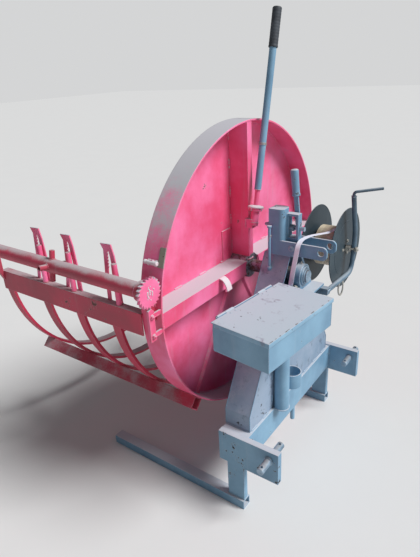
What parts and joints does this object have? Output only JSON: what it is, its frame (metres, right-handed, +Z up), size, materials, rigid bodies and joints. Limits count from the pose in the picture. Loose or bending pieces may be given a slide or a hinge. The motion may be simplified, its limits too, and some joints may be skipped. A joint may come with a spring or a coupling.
{
  "type": "tractor-mounted firewood bundler",
  "caption": "Three-point linkage firewood bundler: a round pan and slatted half-round cradle turn on a shaft before a steel tower, with strap windlass, strap reel and strap bin.",
  "frame": {"origin": "on the floor, under the middle of the machine's outline", "axes": "+X to the tractor along the drum shaft, +Y to the machine's left, +Z up"},
  "size_m": [1.319, 1.2558, 1.8092],
  "materials": {
    "red_paint": "faded gloss, dusty",
    "grey_paint": "satin, dusty",
    "reel_paint": "satin",
    "black_grip": "matte",
    "bare_steel": "dull, worn",
    "strap_plastic": "matte"
  },
  "bodies": {
    "frame": {"lower_beam": "grey_paint", "tower": "grey_paint", "bearing_shelf": "grey_paint", "front_bearing": "grey_paint", "rear_bearing": "grey_paint", "top_link_bracket": "grey_paint", "lock_bolt": "bare_steel", "lock_lever": "grey_paint", "lock_lever_grip": "grey_paint", "upright_pin": "bare_steel", "strap_bin": "grey_paint", "bin_hinge": "grey_paint", "bin_post": "grey_paint", "bar_holder": "grey_paint", "reel_axle": "bare_steel", "reel_arm": "grey_paint", "strap_tail": "strap_plastic", "hitch_plate_right": "grey_paint", "link_pin_right": "bare_steel", "floor_skid_right": "grey_paint", "hitch_plate_left": "grey_paint", "link_pin_left": "bare_steel", "floor_skid_left": "grey_paint"},
    "drum": {"drum_shaft": "bare_steel", "pan_plate": "red_paint", "pan_rim": "red_paint", "cross_member": "red_paint", "upright_member": "red_paint", "hook_posts": "red_paint", "windlass_eyes": "red_paint", "pawl": "red_paint", "lever_socket": "red_paint", "turning_lever": "grey_paint", "turning_lever_grip": "black_grip", "side_channel_right": "red_paint", "side_channel_left": "red_paint", "bottom_rail_right": "red_paint", "bottom_rail_left": "red_paint", "cradle_arc_1": "red_paint", "cradle_arc_2": "red_paint", "cradle_arc_3": "red_paint", "cradle_arc_4": "red_paint", "strap_hook_1": "red_paint", "strap_hook_2": "red_paint", "strap_hook_3": "red_paint"},
    "windlass": {"windlass_tube": "red_paint", "ratchet_wheel": "red_paint"},
    "reel": {"reel_flange_rear": "reel_paint", "reel_flange_front": "reel_paint", "reel_core": "reel_paint", "strap_roll": "strap_plastic"},
    "lid": {"bin_lid": "grey_paint"}
  },
  "joints": [
    {"name": "drum_turn", "type": "hinge", "parent": "frame", "child": "drum", "pos_m": [0.24252, 0.04793, 0.865], "axis": [1, 0, 0], "range_deg": [-100, 100]},
    {"name": "windlass_turn", "type": "hinge", "parent": "drum", "child": "windlass", "pos_m": [0.24252, -0.56907, 0.991], "axis": [1, 0, 0], "continuous": true},
    {"name": "reel_turn", "type": "hinge", "parent": "frame", "child": "reel", "pos_m": [0.37252, 0.38293, 0.876], "axis": [1, 0, 0], "continuous": true},
    {"name": "lid_open", "type": "hinge", "parent": "frame", "child": "lid", "pos_m": [0.40727, -0.27826, 0.88], "axis": [-0.1115, -0.9938, 0], "range_deg": [0, 85]}
  ]
}
